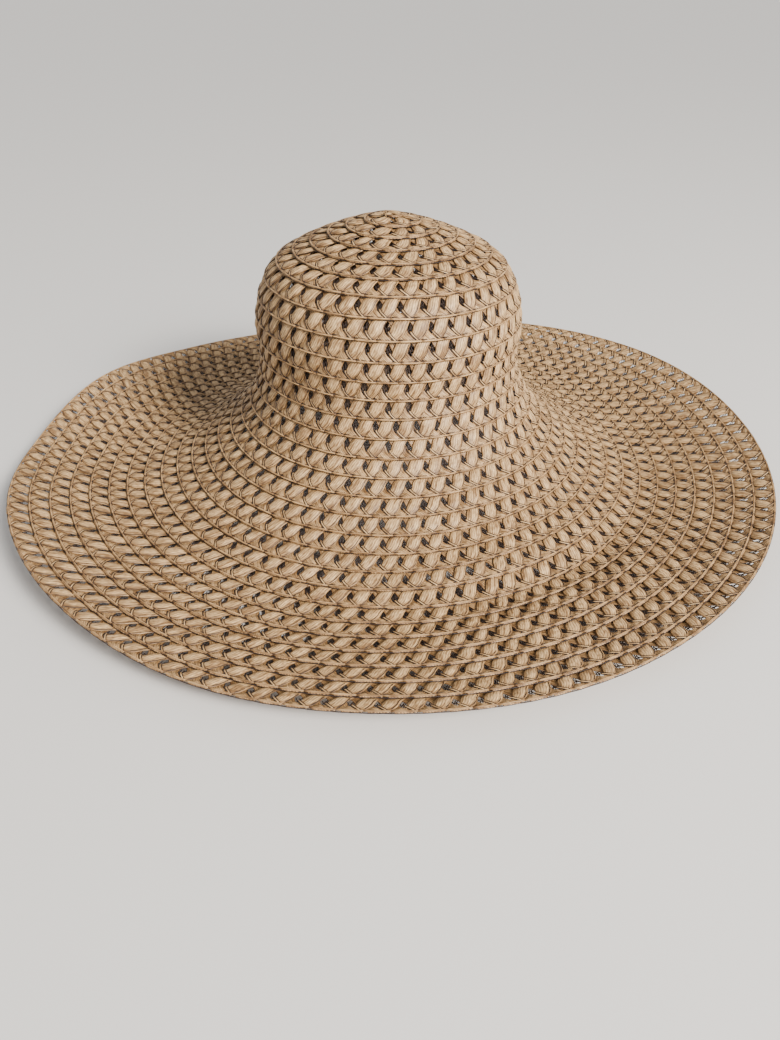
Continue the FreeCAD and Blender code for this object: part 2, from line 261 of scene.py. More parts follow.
RIBBON_HALF = 0.34        # half width of a ribbon along the braid, in cells
RIBBON_THICK = 0.32
RIBBON_SLANT = 1.3        # length of a ribbon for each millimetre that it goes across the braid
BOW = 0.09                # ribbons run steeper over the middle of the braid, by this many cells
LAYER = 0.42              # the two layers of ribbon lie this far above and below the middle
PUFF = 1.25               # how far a ribbon swells over the ones that it crosses
RIDGES = 6                # bundled straws that show across a ribbon
RIDGE_HEIGHT = 0.26
RIDGE_SHARE = 0.75        # ridges have this share of their height on average
RIDGE_SPREAD = 0.5        # and up to this much more or less
TOP_COLUMNS = 2 * RIDGES + 1
UNDER_COLUMNS = 3
FACE_UP = LAYER + RIBBON_THICK / 2   # upper face of the upper ribbons, where they lie flat

# in cells past the middle of the ribbon that is crossed
RISING = (0.40, 0.62)     # a falling ribbon comes up here
DIVING = (0.57, 0.70)     # a rising ribbon goes down here

# shares of the way across the braid: a ribbon swells, or is painted lighter, from the first to the second,
# and goes back from the third to the fourth
FALLING_SWELL = (0.55, 0.75, 0.88, 1.0)
RISING_SWELL = (0.12, 0.36, 0.55, 0.85)
FALLING_PAINTED_LIGHT = (0.58, 0.74, 0.86, 0.97)
RISING_PAINTED_LIGHT = (0.10, 0.36, 0.64, 0.90)
PAINTED_SHADE_LEVEL = 0.60          # painted shade: how light a ribbon is painted where it doesn't swell

# rows of points along a ribbon, from edge to edge of the braid and close together in its folds.
# LEG_FOLD is the share of its height that each row has, so that ribbons meet where they fold
fold = LAYER * np.array([0.0, 0.3, 1.0])
inner_half = np.linspace(fold[-1], BRAID_WIDTH * 0.5, 6)
outer_half = np.linspace(BRAID_WIDTH * 0.5, BRAID_WIDTH - fold[-1], 9)
LEG_ACROSS = np.concatenate((fold, inner_half[1:], outer_half[1:], BRAID_WIDTH - fold[1::-1]))
LEG_FOLD = np.concatenate(([0.0, 0.7], np.ones(len(LEG_ACROSS) - 4), [0.7, 0.0]))


def smoothstep(low, high, x):
    t = np.clip((x - low) / (high - low), 0, 1)
    return t * t * (3 - 2 * t)


def hump(up_from, up_to, down_from, down_to, v, loss=1.0):
    """0, then 1 between two smooth slopes, then 1 - loss."""
    return smoothstep(up_from, up_to, v) * (1 - loss * smoothstep(down_from, down_to, v))


def run(v):
    """How far along the braid a ribbon is, in cells, at a share v of the way across it."""
    return v + BOW * np.sin(2 * math.pi * v)


def falling_height(v, t, puff):
    """Height of a falling ribbon's middle layer, at share v of its way and t from -1 to 1 over it."""
    high = smoothstep(*RISING, 2 * run(v) - 1 + RIBBON_HALF * t)
    swell = 0.5 * high * hump(*FALLING_SWELL, v)
    return LAYER * (2 * high - 1) + puff * swell * (1 - t**2)


def rising_height(v, t, puff):
    """The same for a rising ribbon, which swells most between two holes."""
    high = 1 - smoothstep(*DIVING, 2 * run(v) - 1 - RIBBON_HALF * t)
    swell = high * hump(*RISING_SWELL, v, loss=0.75)
    return LAYER * (2 * high - 1) + puff * swell * (1 - t**2)


def painted_shading(v, t, falling):
    """Painted shade on the straw: palest where a ribbon swells, and darker along its rims and where it
    dives under another.
    """
    if falling:
        places, more, rim_from, rim_shade_depth = FALLING_PAINTED_LIGHT, 0.26, 0.6, 0.3
    else:
        places, more, rim_from, rim_shade_depth = RISING_PAINTED_LIGHT, 0.40, 0.5, 0.4
    painted_rim_shade = 1 - rim_shade_depth * smoothstep(rim_from, 1.0, np.abs(t))
    return (PAINTED_SHADE_LEVEL + more * hump(*places, v)) * painted_rim_shade


def leg_solid(cells, falling, shift_in, shift_out, jitter):
    """Closed thin ribbons, one per cell, from the inner edge of the braid to the outer edge.

    falling ribbons run forward as they go out; the others run back. shift_in and shift_out are
    the places of their folds, which each shares with the ribbon that it is folded into.
    """
    count, rows = len(cells), len(LEG_ACROSS)
    v = LEG_ACROSS[None, :, None] / BRAID_WIDTH
    bend = LEG_FOLD[None, :, None]
    jitter = {name: values[:, None] for name, values in jitter.items()}
    shift = shift_in[:, None, None] * (1 - v) + shift_out[:, None, None] * v
    shift = shift + jitter["sway"][..., None] * np.sin(math.pi * v)
    wide = RIBBON_HALF * (1 + jitter["wide"][..., None] * np.sin(math.pi * v))
    puff = PUFF * (1 + jitter["puff"][..., None])
    aside = jitter["out"][..., None] * (2 * v - 1)

    def middle(t):
        if falling:
            cell = cells[:, None, None] + run(v) + shift + wide * t
            return cell, bend * falling_height(v, t, puff)
        cell = cells[:, None, None] + 1 - run(v) + shift + wide * t
        return cell, bend * rising_height(v, t, puff)

    def face(columns, ridged, side):
        t = np.linspace(-1, 1, columns)[None, None, :]
        cell, height = middle(t)
        flat = together(cell * CELL, LEG_ACROSS[None, :, None] + aside, height)
        along = np.gradient(flat, axis=1)
        over = np.gradient(flat, axis=2)
        normal = np.cross(over, along)
        normal /= np.linalg.norm(normal, axis=-1, keepdims=True)
        thick = np.full(cell.shape, RIBBON_THICK / 2)
        if ridged:
            peaks = np.zeros(columns)
            peaks[1::2] = RIDGE_HEIGHT
            thick = thick + peaks * (RIDGE_SHARE + RIDGE_SPREAD * jitter["ridge"])
        points = on_braid(flat + side * normal * thick[..., None])
        length = LEG_ACROSS[None, :, None] * RIBBON_SLANT
        fibre = together(t * RIBBON_HALF * CELL, length, jitter["seed"][..., None])
        # painted shade, which the material reads as the 'pale' attribute
        pale = np.broadcast_to(painted_shading(v, t, falling), cell.shape)
        return points.reshape(count, -1, 3), fibre.reshape(count, -1, 3), pale.reshape(count, -1)

    top = face(TOP_COLUMNS, True, 1.0)
    under = face(UNDER_COLUMNS, False, -1.0)
    points, fibre, pale = [np.concatenate(pair, 1) for pair in zip(top, under)]
    first = rows * TOP_COLUMNS
    quads = [grid_quads(rows, TOP_COLUMNS), first + grid_quads(rows, UNDER_COLUMNS)[:, ::-1]]
    r = np.arange(rows - 1)
    for top_column, under_column, way in ((0, 0, 1), (TOP_COLUMNS - 1, UNDER_COLUMNS - 1, -1)):
        a = r * TOP_COLUMNS + top_column
        b = (r + 1) * TOP_COLUMNS + top_column
        c = first + (r + 1) * UNDER_COLUMNS + under_column
        d = first + r * UNDER_COLUMNS + under_column
        quads.append(together(a, b, c, d)[:, ::way])
    return points, fibre, pale, np.concatenate(quads)


def braid_ribbons(pile, cells, chance):
    """Both ribbons of each of these cells."""
    shifts_in, shifts_out = chance["in"], chance["out"]
    for falling in (True, False):
        key = "a" if falling else "b"
        names = ("sway", "wide", "puff", "out", "ridge", "seed")
        jitter = {name: chance[name + key][cells] for name in names}
        start = shifts_in[cells] if falling else shifts_in[cells + 1]
        end = shifts_out[cells + 1] if falling else shifts_out[cells]
        points, fibre, pale, quads = leg_solid(cells.astype(float), falling, start, end, jitter)
        pile.add(points, many(quads, len(cells), points.shape[1]), fibre, pale)


FOLD_SPREAD = 0.03        # of the folds along the braid, in cells
RIBBON_SPREAD = {"sway": 0.02, "wide": 0.06, "puff": 0.2, "out": 0.12}


def make_chance():
    """Small irregularities of hand weaving, drawn once for the whole braid."""
    n = CELLS + 3
    chance = {"in": rng.normal(0, FOLD_SPREAD, n), "out": rng.normal(0, FOLD_SPREAD, n)}
    for key in ("a", "b"):
        for name, spread in RIBBON_SPREAD.items():
            chance[name + key] = rng.normal(0, spread, n)
        chance["ridge" + key] = rng.uniform(-1, 1, (n, TOP_COLUMNS))
        chance["seed" + key] = rng.uniform(0, 1, n)
    return chance


# ---- tubes that run with the weave ------------------------------------------------------

TUBE_ROUND = 6            # the way round a tube, in half widths of it


def tubes(paths, half_wide, half_high, sides):
    """Tubes along paths: (count, rings, 3) to points. half_high stands up and half_wide lies level."""
    along = np.gradient(paths, axis=1)
    along /= np.linalg.norm(along, axis=-1, keepdims=True)
    up = np.zeros_like(along)
    up[..., 2] = 1
    aside = np.cross(along, up)
    aside /= np.linalg.norm(aside, axis=-1, keepdims=True)
    rise = np.cross(aside, along)
    angle = 2 * math.pi * (np.arange(sides) + 0.5) / sides
    ring = aside[:, :, None] * np.cos(angle)[None, None, :, None] * half_wide
    ring = ring + rise[:, :, None] * np.sin(angle)[None, None, :, None] * half_high
    return paths[:, :, None] + ring


def add_tubes(pile, paths, half_wide, half_high, sides, seeds, to_hat=on_braid, pale=1.0):
    """Closed tubes along paths, which to_hat takes to the hat's coordinates."""
    points = to_hat(tubes(paths, half_wide, half_high, sides))
    count, rings = paths.shape[:2]
    steps = np.diff(paths, axis=1, prepend=paths[:, :1])
    length = np.cumsum(np.linalg.norm(steps, axis=-1), axis=1)
    round_it = np.linspace(0, half_wide * TUBE_ROUND, sides)
    fibre = together(round_it[None, None, :], length[:, :, None], seeds[:, None, None])
    pale = np.broadcast_to(pale, (count, rings))[:, :, None] + np.zeros(sides)
    pile.add(points, many(tube_quads(rings, sides), count, rings * sides), fibre, pale)


SELVEDGE_IN = 0.62        # from the outer edge to the middle of the folded selvedge
SELVEDGE_UP = 0.184       # its middle above the ribbons, at the ends of each length
SELVEDGE_BULGE = 0.12     # and this much higher in between
SELVEDGE_HALF_WIDE = 0.66
SELVEDGE_HALF_HIGH = 0.52
SELVEDGE_RINGS = 7
PALE_LEAST, PALE_MORE = 0.64, 0.26   # paleness of a length, and what chance adds to it at most
DARK_ENDS = 0.3           # what its ends lose again
LAP = 1.02                # lengths that follow each other are this long, in cells, and so overlap


def selvedge(pile, cells, chance):
    """The rounded straw that finishes the outer edge, one length per cell, end to end."""
    along = np.linspace(0, 1, SELVEDGE_RINGS)[None, :]
    cell = (cells + 0.5)[:, None] + along * LAP
    height = FACE_UP + SELVEDGE_UP + SELVEDGE_BULGE * np.sin(math.pi * along)
    paths = together(cell * CELL, BRAID_WIDTH - SELVEDGE_IN, height)
    pale = PALE_LEAST + PALE_MORE * chance["seedb"][cells][:, None]
    pale = pale - DARK_ENDS * np.abs(2 * along - 1) ** 3
    seeds = chance["seeda"][cells]
    add_tubes(pile, paths, SELVEDGE_HALF_WIDE, SELVEDGE_HALF_HIGH, 6, seeds, pale=pale)


THREAD_HALF = 0.3         # the dark threads woven in beside the ribbons, dark also as painted shadow
THREAD_CLEAR = 0.18       # from their middles down to the ribbon under them
THREAD_APART = 1.8        # between the two threads of a pair, along the braid
STRAND_PHASE = 0.53       # the pair runs this far behind the middle of the falling ribbon, in cells
STRAND_HALF_WIDE = 0.45   # the single straw that lies between the two threads
STRAND_HALF_HIGH = 0.3
STRAND_CLEAR = 0.09
STRAND_SEED = 0.37        # gives it another tone than the ribbon beside it
PAIR_FROM, STRAND_FROM, PAIR_TO = 0.42, 0.62, 0.97   # shares of the way across the braid
STRAND_LOW = -0.3         # height in the hole, before they climb on the rising ribbon
CLIMB_FROM, CLIMB_TO = 0.54, 0.66
DIP, DIP_FROM = 0.8, 0.9  # they dip again at the outer edge
UNDER_PHASE, UNDER_APART = 0.5, 0.09   # a pair that crosses the hole low down, the other way, in cells
UNDER_SPAN, UNDER_HEIGHT = (0.27, 0.73), -0.75
RIM = 0.05                # from the edge of a rising ribbon to the dark thread along it, in cells; the thread is also painted shadow of the rim
RIM_FROM, RIM_TO = 0.28, 0.86
RIM_HALF = 0.27
RIM_UP = 0.425            # above the flat ribbons, where the ribbon swells
RIM_DIP, RIM_DIP_FROM = 0.5, 0.74
EDGE_OUT, EDGE_DOWN, EDGE_WAVE = 0.1, 0.15, 0.1   # the dark thread that winds along the outer edge, painted shadow of the gap under the selvedge
EDGE_HALF_HIGH = 0.39


def strand_paths(cells, chance, start, ahead, clear):
    """Paths behind each falling ribbon: out of the hole and over the rising ribbon."""
    v = np.linspace(start, PAIR_TO, 11)[None, :]
    shift = chance["in"][cells][:, None] * (1 - v) + chance["out"][cells + 1][:, None] * v
    phase = STRAND_PHASE - ahead / CELL
    cell = cells[:, None] - phase + run(v) + shift
    over = np.clip((2 * run(v) - 1 - phase) / RIBBON_HALF, -1, 1)
    on_top = rising_height(v, over, PUFF) + RIBBON_THICK / 2 + RIDGE_HEIGHT / 2 + clear
    climb = smoothstep(CLIMB_FROM, CLIMB_TO, v)
    up = STRAND_LOW * (1 - climb) + on_top * climb - DIP * smoothstep(DIP_FROM, PAIR_TO, v)
    return together(cell * CELL, v * BRAID_WIDTH, up)


def pair_threads_and_shadows(pile, cells, chance):
    """A pair of dark threads out of each hole and over the rising ribbon; their dark colour also paints
    the shadows beside the straw strand between them.
    """
    for ahead in (-THREAD_APART / 2, THREAD_APART / 2):
        paths = strand_paths(cells, chance, PAIR_FROM, ahead, THREAD_CLEAR)
        add_tubes(pile, paths, THREAD_HALF, THREAD_HALF, 4, chance["seedb"][cells])


def rim_threads_and_shadow(pile, cells, chance):
    """A dark thread along one rim of each rising ribbon, which also paints the shadow at that rim."""
    v = np.linspace(RIM_FROM, RIM_TO, 8)[None, :]
    shift = chance["in"][cells + 1][:, None] * (1 - v) + chance["out"][cells][:, None] * v
    cell = cells[:, None] + 1 - run(v) + RIBBON_HALF - RIM + shift
    height = FACE_UP + RIM_UP - RIM_DIP * smoothstep(RIM_DIP_FROM, RIM_TO, v)
    paths = together(cell * CELL, v * BRAID_WIDTH, height)
    add_tubes(pile, paths, RIM_HALF, RIM_HALF, 4, chance["seeda"][cells])


def edge_shadow_thread(pile, cells, chance):
    """A dark thread along the braid's outer edge, one length per cell, end to end: painted shadow in the
    gap under the selvedge.
    """
    along = np.linspace(0, LAP, 5)[None, :] + cells[:, None]
    height = -EDGE_DOWN + EDGE_WAVE * np.sin(2 * math.pi * along)
    paths = together(along * CELL, BRAID_WIDTH + EDGE_OUT, height)
    add_tubes(pile, paths, THREAD_HALF, EDGE_HALF_HIGH, 4, chance["seeda"][cells])


def hole_threads(pile, cells, chance):
    """A pair of threads low down across each hole."""
    v = np.linspace(*UNDER_SPAN, 5)[None, :]
    for aside in (-0.5, 0.5):
        sway = chance["swaya"][cells][:, None]
        cell = cells[:, None] + 1 - run(v) + UNDER_PHASE + aside * UNDER_APART + sway
        paths = together(cell * CELL, v * BRAID_WIDTH, UNDER_HEIGHT)
        add_tubes(pile, paths, THREAD_HALF, THREAD_HALF, 4, chance["seedb"][cells])


def straw_strands(pile, cells, chance):
    """The single straw that lies between the two dark threads of each pair."""
    paths = strand_paths(cells, chance, STRAND_FROM, 0.0, STRAND_CLEAR)
    seeds = chance["seedb"][cells] + STRAND_SEED
    add_tubes(pile, paths, STRAND_HALF_WIDE, STRAND_HALF_HIGH, 6, seeds)


STITCH_PITCH = 4.6
STITCH_LENGTH = 4.0
STITCH_IN = 1.65          # from the outer edge to the line of stitches
STITCH_HALF = 0.3
STITCH_UP = 0.4           # above the ribbons in the middle of a stitch
STITCH_SINK = 0.6         # and this much lower at its ends
STITCH_SPREAD_ALONG, STITCH_SPREAD_ACROSS = 0.15, 0.08


def seam_stitches(pile, first_turn, last_turn):
    """The running stitches that sew each turn down on the next one."""
    low = np.interp(first_turn, turn_table, cell_table) * CELL
    high = np.interp(last_turn + 1, turn_table, cell_table) * CELL
    even = np.arange(low, high, STITCH_PITCH)
    start = even + rng.normal(0, STITCH_SPREAD_ALONG, len(even))
    share = np.linspace(0, 1, 5)[None, :]
    aside = rng.normal(0, STITCH_SPREAD_ACROSS, len(even))[:, None]
    height = FACE_UP + STITCH_UP - STITCH_SINK * np.abs(2 * share - 1) ** 3
    paths = together(start[:, None] + share * STITCH_LENGTH, BRAID_WIDTH - STITCH_IN + aside, height)
    add_tubes(pile, paths, STITCH_HALF, STITCH_HALF, 4, np.zeros(len(start)))


# ---- the sweatband, its stitches and its label ------------------------------------------

band_low, band_high = [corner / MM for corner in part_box("sweatband")]
BAND_HEM, BAND_TOP = band_low.z, band_high.z
HEAD_RADIUS, BAND_THICKNESS = 89.6, 0.9
HEM_DROP, HEM_FLARE = 6.0, 0.9
BAND_INSET_IN, BAND_INSET_OUT = 0.12, 0.2   # leave room for the ribs and waves inside the CAD band
BAND_EDGE = 0.15          # the ribbon's edges lie this far inside the CAD band's
RIB_PITCH, RIB_HEIGHT = 0.9, 0.1
BAND_ROWS = 16
BAND_LIFT = 0.12          # but the upper edge waves up and down by this much
BAND_WAVES = ((0.16, 5, 0.7), (0.1, 11, 0.0))   # size, count round the band, start
STITCH_COUNT, STITCH_RUN, STITCH_Z = 96, 4.2, 89.4
HEM_STITCH_HALF, HEM_STITCH_UP, HEM_STITCH_SINK = 0.2, 0.22, 0.3
HEM_STITCH_SPREAD, HEM_STITCH_SLANT = 0.05, 0.12
LABEL_WIDTH, LABEL_HEIGHT, LABEL_THICKNESS = 22.0, 21.0, 0.4
LABEL_CORNER, LABEL_LEAN, LABEL_GAP = 1.5, 14.0, 0.1
LABEL_CURL, LABEL_BELLY = 0.9, 0.25
LABEL_ROWS, LABEL_COLUMNS, LABEL_WEAVE = 30, 34, 0.025
TACKS, TACK_FROM, TACK_LENGTH, TACK_HALF = 9, 0.5, 1.6, 0.13
TACK_UP, TACK_SINK, TACK_SLANT = 0.12, 0.25, 0.35
TACK_MARGIN = 1.2         # from the label's sides to the first and last tack


def as_made(points):
    """For tubes whose paths are in the hat's coordinates already."""
    return points


def shell(pile, front, back):
    """A closed sheet between two grids of points of the same shape, (rows, columns, 3)."""
    rows, columns = front.shape[:2]
    first = rows * columns
    r, c = np.arange(rows), np.arange(columns)
    right, left = columns * r[1:] + columns - 1, columns * r[-2:0:-1]
    loop = np.concatenate([c, right, (rows - 1) * columns + c[-2::-1], left])
    after = np.roll(loop, -1)
    rim = together(loop, first + loop, first + after, after)
    quads = grid_quads(rows, columns)
    points = np.concatenate([front.reshape(-1, 3), back.reshape(-1, 3)])
    pile.add(points, np.concatenate([quads, first + quads[:, ::-1], rim]), points)


def band_shell(pile):
    """Grosgrain ribbon round the head opening: its fine ribs run up and down."""
    ribs = int(2 * math.pi * HEAD_RADIUS / RIB_PITCH)
    columns = 2 * ribs
    angle = 2 * math.pi * np.arange(columns) / columns
    height = np.linspace(BAND_HEM, BAND_TOP, BAND_ROWS)
    height = np.concatenate((height[:1] + BAND_EDGE, height[1:-1], height[-1:] - BAND_EDGE))
    flare = HEM_FLARE * np.clip((BAND_HEM + HEM_DROP - height) / HEM_DROP, 0, 1)
    rib = RIB_HEIGHT * (np.arange(columns) % 2)
    loose = sum(size * np.sin(count * angle + start) for size, count, start in BAND_WAVES)
    lift = BAND_LIFT * np.sin(7 * angle + 2.0)
    level = height[:, None] + lift * (height[:, None] > BAND_TOP - 2)

    def face(radius, rib_side):
        around = radius + flare[:, None] + (rib_side * rib + loose)[None, :]
        return together(around * np.cos(angle), around * np.sin(angle), level)

    inner = face(HEAD_RADIUS + BAND_INSET_IN, -1)
    outer = face(HEAD_RADIUS + BAND_THICKNESS - BAND_INSET_OUT, 1)
    first = BAND_ROWS * columns
    here = np.arange(columns)
    after = (here + 1) % columns
    foot = together(here, first + here, first + after, after)
    top = foot + (BAND_ROWS - 1) * columns
    wall = grid_quads(BAND_ROWS, columns, closed=True)
    quads = np.concatenate([wall[:, ::-1], first + wall, top, foot[:, ::-1]])
    points = np.concatenate([inner.reshape(-1, 3), outer.reshape(-1, 3)])
    around = np.tile(angle * HEAD_RADIUS, 2 * BAND_ROWS)
    pile.add(points, quads, together(around, points[:, 2], 0.0))


def band_stitches(pile):
    """The row of stitches that holds the band's hem to the crown, dipping into it at both ends."""
    turn = 2 * math.pi * np.arange(STITCH_COUNT) / STITCH_COUNT
    share = np.linspace(-1, 1, 7)
    angle = turn[:, None] + share * STITCH_RUN / 2 / HEAD_RADIUS
    wall = HEAD_RADIUS + HEM_FLARE * (BAND_HEM + HEM_DROP - STITCH_Z) / HEM_DROP
    radius = wall - HEM_STITCH_UP + HEM_STITCH_SINK * np.abs(share) ** 3
    uneven = rng.normal(0, HEM_STITCH_SPREAD, STITCH_COUNT)[:, None]
    height = STITCH_Z + uneven + HEM_STITCH_SLANT * share
    paths = together(radius * np.cos(angle), radius * np.sin(angle), height)
    seeds = np.zeros(STITCH_COUNT)
    add_tubes(pile, paths, HEM_STITCH_HALF, HEM_STITCH_HALF, 8, seeds, to_hat=as_made)


def label_point(across, up, off):
    """A point of the label, off its middle: it leans into the crown and curls at its free end."""
    lean = math.radians(LABEL_LEAN)
    share = up / LABEL_HEIGHT
    curl = LABEL_CURL * share**2 * (across / LABEL_WIDTH * 2) ** 2
    out = off - curl - LABEL_BELLY * np.sin(math.pi * share)
    foot_y = HEAD_RADIUS + BAND_THICKNESS / 2
    y = foot_y - up * math.sin(lean) + out * math.cos(lean)
    z = BAND_TOP + LABEL_GAP + up * math.cos(lean) + out * math.sin(lean)
    return together(across, y, z)


def label_shell(pile):
    """Blank woven label with rounded upper corners."""
    up = np.linspace(0, LABEL_HEIGHT, LABEL_ROWS)[:, None]
    over = np.maximum(up - (LABEL_HEIGHT - LABEL_CORNER), 0)
    half = LABEL_WIDTH / 2 - LABEL_CORNER + np.sqrt(np.maximum(LABEL_CORNER**2 - over**2, 0.0))
    across = np.linspace(-1, 1, LABEL_COLUMNS)[None, :] * half
    odd = (np.arange(LABEL_ROWS)[:, None] + np.arange(LABEL_COLUMNS)[None, :]) % 2
    off = LABEL_THICKNESS / 2 + LABEL_WEAVE * odd
    shell(pile, label_point(across, up, -off), label_point(across, up, off))


def label_stitches(pile):
    """Short upright stitches along the label's foot."""
    reach = LABEL_WIDTH / 2 - TACK_MARGIN
    across = np.linspace(-reach, reach, TACKS)[:, None]
    share = np.linspace(0, 1, 5)[None, :]
    off = -LABEL_THICKNESS / 2 - TACK_UP + TACK_SINK * (2 * share - 1) ** 4
    paths = label_point(across + TACK_SLANT * share, TACK_FROM + TACK_LENGTH * share, off)
    add_tubes(pile, paths, TACK_HALF, TACK_HALF, 6, np.zeros(TACKS), to_hat=as_made)


# ---- materials --------------------------------------------------------------------------

STRAW_PITCH = 2 * RIBBON_HALF * CELL / RIDGES
STRAW_TINTS = (
    (0.30, (0.17, 0.09, 0.036)),
    (0.43, (0.46, 0.285, 0.13)),
    (0.58, (0.66, 0.45, 0.225)),
    (0.75, (0.84, 0.62, 0.35)),
)
STRAW_TONES = ((0.34, (0.50, 0.43, 0.36)), (0.5, (0.92, 0.90, 0.87)), (0.66, (1.15, 1.13, 1.10)))
# colours for the 'pale' values: painted shade on the ribbons, and the selvedge lengths' own tones
PAINTED_SHADE_AND_TONE = ((0.3, (0.34, 0.25, 0.19)), (0.65, (0.80, 0.74, 0.68)), (1.0, (1.12, 1.12, 1.12)))
GROOVE_SHADE = 0.55       # painted shade: what is left of the colour in the grooves between bundled straws
GROOVE_EDGE = -0.6        # the cosine over a straw at which the painted shade of its groove begins
FIBRES_ACROSS, FIBRES_ALONG = 3.2, 0.3   # steps through the noise for each millimetre
STRAWS_APART = 3.7        # through the noise, from one strip as wide as a straw to the next
STRAW_DRIFT = 0.09        # through the noise for each millimetre along a strip
RIBBONS_APART, FIBRES_APART = 70.0, 90.0   # through the noises, from ribbon to ribbon


def new_material(name):
    """A material with its nodes, its links and its shader."""
    material = bpy.data.materials.new(name)
    material.use_nodes = True
    nodes, links = material.node_tree.nodes, material.node_tree.links
    return material, nodes, links, nodes["Principled BSDF"]


def attribute(nodes, name):
    node = nodes.new("ShaderNodeAttribute")
    node.attribute_name = name
    return node


def ramp(nodes, links, value, stops):
    """The colour that a value from 0 to 1 has on a ramp of (place, colour) stops."""
    node = nodes.new("ShaderNodeValToRGB")
    elements = node.color_ramp.elements
    while len(elements) < len(stops):
        elements.new(0.5)
    for element, (position, colour) in zip(elements, stops):
        element.position = position
        element.color = (*colour, 1.0)
    links.new(value, node.inputs[0])
    return node.outputs[0]


def worked_out(nodes, links, operation, value, number=1.0):
    """One Math node on a value. number is its second input, where the operation has one."""
    node = nodes.new("ShaderNodeMath")
    node.operation = operation
    node.inputs[1].default_value = number
    links.new(value, node.inputs[0])
    return node.outputs[0]


def noise_at(nodes, links, vector, detail):
    """Noise of scale 1 at a point."""
    node = nodes.new("ShaderNodeTexNoise")
    node.inputs["Scale"].default_value = 1.0
    node.inputs["Detail"].default_value = detail
    links.new(vector, node.inputs["Vector"])
    return node.outputs["Fac"]


def multiplied(nodes, links, first, second):
    """Two colours multiplied."""
    node = nodes.new("ShaderNodeMix")
    node.data_type = "RGBA"
    node.blend_type = "MULTIPLY"
    node.inputs[0].default_value = 1.0
    links.new(first, node.inputs[6])
    links.new(second, node.inputs[7])
    return node.outputs[2]


def mapped(nodes, links, value, low, high, from_low=0.0):
    """A value between from_low and 1, spread from low to high."""
    node = nodes.new("ShaderNodeMapRange")
    node.inputs["From Min"].default_value = from_low
    node.inputs["To Min"].default_value = low
    node.inputs["To Max"].default_value = high
    links.new(value, node.inputs["Value"])
    return node.outputs[0]


def add_bump(nodes, links, shader, height, strength, distance):
    """Relief on a shader from a value. distance is its depth in metres."""
    node = nodes.new("ShaderNodeBump")
    node.inputs["Strength"].default_value = strength
    node.inputs["Distance"].default_value = distance
    links.new(height, node.inputs["Height"])
    links.new(node.outputs[0], shader.inputs["Normal"])


def straw_material():
    """Straw: fine fibres, tones in strips along them, painted shade in the grooves, and browner where not
    pale: painted shade on the ribbons, own tone on the selvedge.
    """
    material, nodes, links, shader = new_material("straw")
    split = nodes.new("ShaderNodeSeparateXYZ")
    links.new(attribute(nodes, "fibre").outputs["Vector"], split.inputs[0])
    across, along, seed = split.outputs

    def scaled(*places):
        """A point from three values, each multiplied by its factor."""
        point = nodes.new("ShaderNodeCombineXYZ")
        for index, (value, factor) in enumerate(places):
            links.new(worked_out(nodes, links, "MULTIPLY", value, factor), point.inputs[index])
        return point.outputs[0]

    fibres = scaled((across, FIBRES_ACROSS), (along, FIBRES_ALONG), (seed, FIBRES_APART))
    fine = noise_at(nodes, links, fibres, detail=3.0)
    strip = worked_out(nodes, links, "DIVIDE", across, STRAW_PITCH)
    strip = worked_out(nodes, links, "ROUND", strip)
    strips = scaled((strip, STRAWS_APART), (along, STRAW_DRIFT), (seed, RIBBONS_APART))
    broad = noise_at(nodes, links, strips, detail=1.0)

    tint = ramp(nodes, links, fine, STRAW_TINTS)
    tone = ramp(nodes, links, broad, STRAW_TONES)
    colour = multiplied(nodes, links, tint, tone)

    # painted shade in the grooves between the bundled straws
    turn = worked_out(nodes, links, "MULTIPLY", across, 2 * math.pi / STRAW_PITCH)
    wave_over = worked_out(nodes, links, "COSINE", turn)
    painted_groove_shade = mapped(nodes, links, wave_over, low=1.0, high=GROOVE_SHADE, from_low=GROOVE_EDGE)
    colour = multiplied(nodes, links, colour, painted_groove_shade)

    # painted shade of the ribbons, and the selvedge's own tones
    pale = ramp(nodes, links, attribute(nodes, "pale").outputs["Fac"], PAINTED_SHADE_AND_TONE)
    colour = multiplied(nodes, links, colour, pale)

    links.new(colour, shader.inputs["Base Color"])
    links.new(mapped(nodes, links, fine, low=0.62, high=0.42), shader.inputs["Roughness"])
    shader.inputs["Specular IOR Level"].default_value = 0.5
    add_bump(nodes, links, shader, fine, strength=0.55, distance=0.0003)
    return material


def thread_material(name, dark, light, roughness):
    """Twisted thread: slanting bands along it."""
    material, nodes, links, shader = new_material(name)
    bands = nodes.new("ShaderNodeTexWave")
    bands.inputs["Scale"].default_value = 0.9
    bands.inputs["Distortion"].default_value = 1.2
    bands.bands_direction = "DIAGONAL"
    links.new(attribute(nodes, "fibre").outputs["Vector"], bands.inputs["Vector"])
    twist = bands.outputs["Fac"]
    links.new(ramp(nodes, links, twist, ((0.2, dark), (0.8, light))), shader.inputs["Base Color"])
    shader.inputs["Roughness"].default_value = roughness
    add_bump(nodes, links, shader, twist, strength=0.5, distance=0.0001)
    return material


def cloth_material(name, dark, light, across, along, roughness, sheen):
    """Woven cloth: fine noise stretched across and along the weave, with a soft sheen."""
    material, nodes, links, shader = new_material(name)
    scale = nodes.new("ShaderNodeMapping")
    scale.inputs["Scale"].default_value = (across, across, along)
    links.new(attribute(nodes, "fibre").outputs["Vector"], scale.inputs["Vector"])
    weave = noise_at(nodes, links, scale.outputs[0], detail=4.0)
    links.new(ramp(nodes, links, weave, ((0.3, dark), (0.7, light))), shader.inputs["Base Color"])
    shader.inputs["Roughness"].default_value = roughness
    shader.inputs["Sheen Weight"].default_value = sheen
    add_bump(nodes, links, shader, weave, strength=0.5, distance=0.0001)
    return material


STRAW = straw_material()
